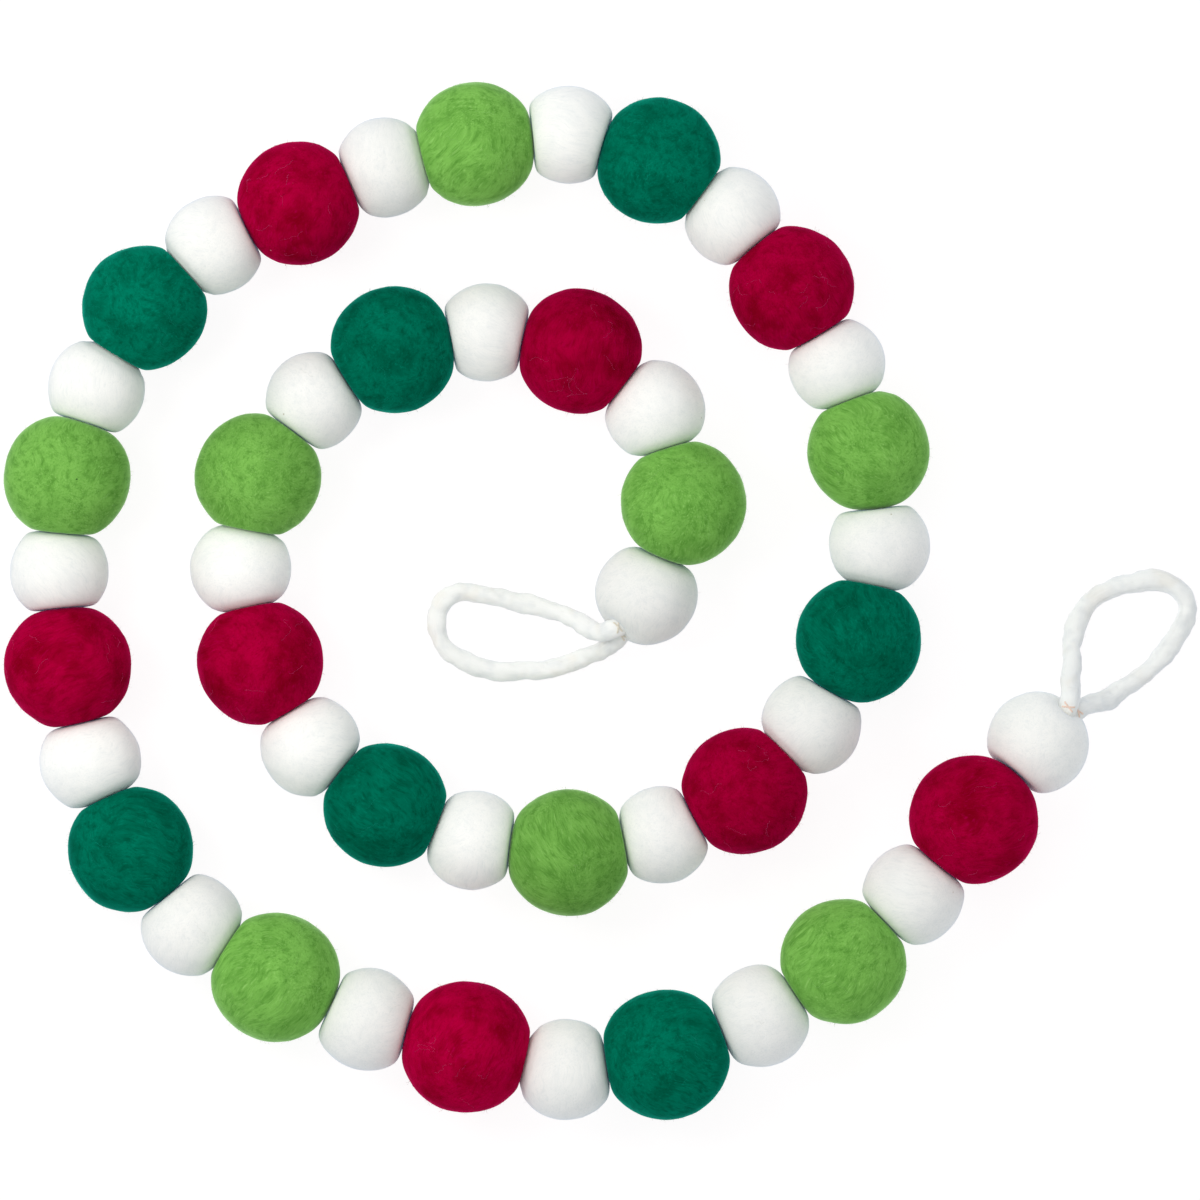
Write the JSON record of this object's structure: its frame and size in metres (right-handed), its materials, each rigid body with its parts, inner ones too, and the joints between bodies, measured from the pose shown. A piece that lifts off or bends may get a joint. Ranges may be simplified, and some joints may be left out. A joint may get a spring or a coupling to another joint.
{
  "type": "felt ball garland",
  "caption": "Garland of red, green, lime and white felted wool balls strung in a row and laid in an open spiral, with a soft hanging loop at each end.",
  "frame": {"origin": "on the surface that the garland lies on, under the centre of the balls' bounding box; the loops aren't counted", "axes": "+Z up from the surface; seen from above as pictured, +X to the right and +Y up, with the outer loop at +X"},
  "size_m": [0.4477, 0.389, 0.0483],
  "materials": {
    "white_wool": "dense felted wool, matt with fine fuzz",
    "lime_wool": "dense felted wool, matt with fine fuzz",
    "red_wool": "dense felted wool, matt with pale stray fibres",
    "green_wool": "dense felted wool, matt with fine fuzz",
    "loop_wool": "soft rolled wool cord, matt and lumpy",
    "thread": "waxed cotton thread, slightly satin"
  },
  "bodies": {
    "root": {"ball_01_white": "white_wool", "ball_02_lime": "lime_wool", "ball_03_white": "white_wool", "ball_04_red": "red_wool", "ball_05_white": "white_wool", "ball_06_green": "green_wool", "ball_07_white": "white_wool", "ball_08_lime": "lime_wool", "ball_09_white": "white_wool", "ball_10_red": "red_wool", "ball_11_white": "white_wool", "ball_12_green": "green_wool", "ball_13_white": "white_wool", "ball_14_lime": "lime_wool", "ball_15_white": "white_wool", "ball_16_red": "red_wool", "ball_17_white": "white_wool", "ball_18_green": "green_wool", "ball_19_white": "white_wool", "ball_20_lime": "lime_wool", "ball_21_white": "white_wool", "ball_22_red": "red_wool", "ball_23_white": "white_wool", "ball_24_green": "green_wool", "ball_25_white": "white_wool", "ball_26_lime": "lime_wool", "ball_27_white": "white_wool", "ball_28_red": "red_wool", "ball_29_white": "white_wool", "ball_30_green": "green_wool", "ball_31_white": "white_wool", "ball_32_lime": "lime_wool", "ball_33_white": "white_wool", "ball_34_red": "red_wool", "ball_35_white": "white_wool", "ball_36_green": "green_wool", "ball_37_white": "white_wool", "ball_38_lime": "lime_wool", "ball_39_white": "white_wool", "ball_40_red": "red_wool", "ball_41_white": "white_wool", "ball_42_green": "green_wool", "ball_43_white": "white_wool", "ball_44_lime": "lime_wool", "ball_45_white": "white_wool", "ball_46_red": "red_wool", "ball_47_white": "white_wool", "string": "thread", "loop_inner": "loop_wool", "loop_outer": "loop_wool"}
  },
  "joints": []
}
